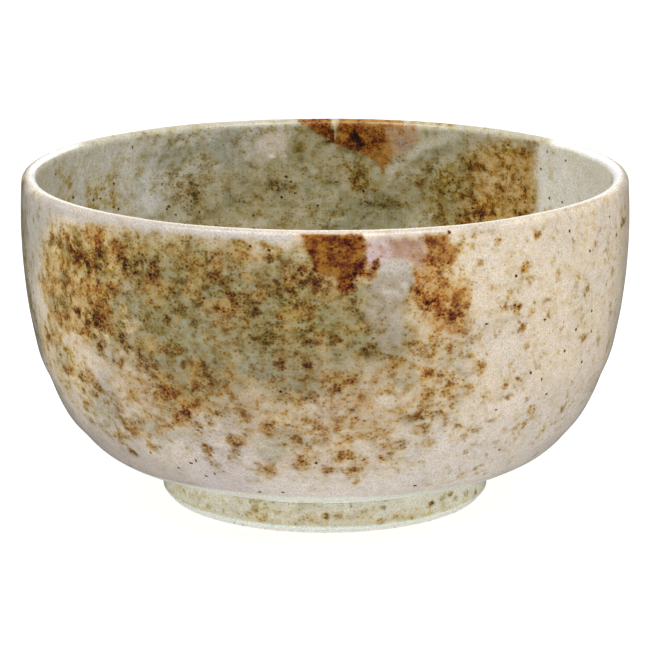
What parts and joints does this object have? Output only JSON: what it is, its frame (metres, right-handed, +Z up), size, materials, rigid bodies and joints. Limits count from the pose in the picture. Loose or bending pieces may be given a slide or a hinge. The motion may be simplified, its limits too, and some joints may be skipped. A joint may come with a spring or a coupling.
{
  "type": "matcha bowl",
  "caption": "Round glazed stoneware tea bowl with a near-vertical wall, a rounded lip and a low turned foot ring, for whisking and drinking matcha.",
  "frame": {"origin": "on the table under the middle of the bowl, in the plane of the foot ring's contact face", "axes": "+Z up along the bowl's axis; +X to the right and -Y towards the viewer of the side with the rust patch under the rim"},
  "size_m": [0.1206, 0.1206, 0.0655],
  "materials": {
    "bare_clay": "unglazed stoneware, sealed under the glaze",
    "foot_clay": "unglazed stoneware, turned and rubbed smooth",
    "inner_glaze": "satin ash glaze, grey-green with brown speckle and iron patches",
    "outer_glaze": "satin ash glaze, cream to grey-green with dense brown speckle and rust patches",
    "foot_glaze": "thin pale green-white glaze with a few brown spots",
    "recess_glaze": "thin pale green-white glaze"
  },
  "bodies": {
    "root": {"clay_body": "bare_clay", "foot_ring": "foot_clay", "inner_glaze": "inner_glaze", "outer_glaze": "outer_glaze", "foot_glaze": "foot_glaze", "recess_glaze": "recess_glaze"}
  },
  "joints": []
}
